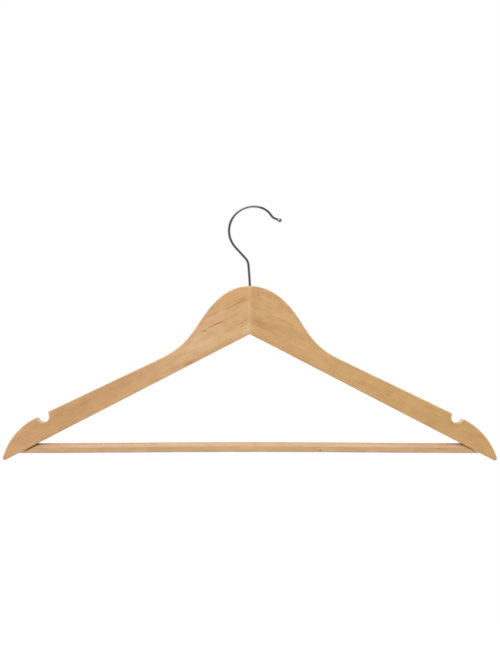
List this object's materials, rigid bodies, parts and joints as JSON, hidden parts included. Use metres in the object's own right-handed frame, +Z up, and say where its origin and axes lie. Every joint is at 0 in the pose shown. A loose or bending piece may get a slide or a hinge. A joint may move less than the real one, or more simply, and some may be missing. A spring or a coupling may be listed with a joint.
{
  "type": "wooden clothes hanger",
  "caption": "Flat wooden clothes hanger with a turning wire hook, strap notches near its tips and a straight wooden bar for trousers.",
  "frame": {"origin": "top of the space inside the hook's crown, where a rail carries the hanger, in the middle plane of the wire", "axes": "+X to the right along the hanger's width, +Y from the front face to the back face, +Z up along the hook's shank"},
  "size_m": [0.445, 0.012, 0.2304],
  "materials": {
    "board_wood": "clear satin lacquer",
    "bar_wood": "clear satin lacquer",
    "chromed_wire": "polished",
    "brad_steel": "bright"
  },
  "bodies": {
    "wire_hook": {"hook": "chromed_wire"},
    "wooden_body": {"left_arm": "board_wood", "right_arm": "board_wood", "trouser_bar": "bar_wood", "left_bar_brad": "brad_steel", "right_bar_brad": "brad_steel"}
  },
  "joints": [
    {"name": "hook_swivel", "type": "hinge", "parent": "wire_hook", "child": "wooden_body", "pos_m": [-0.00369, 0, -0.07083], "axis": [0, 0, 1], "continuous": true}
  ]
}
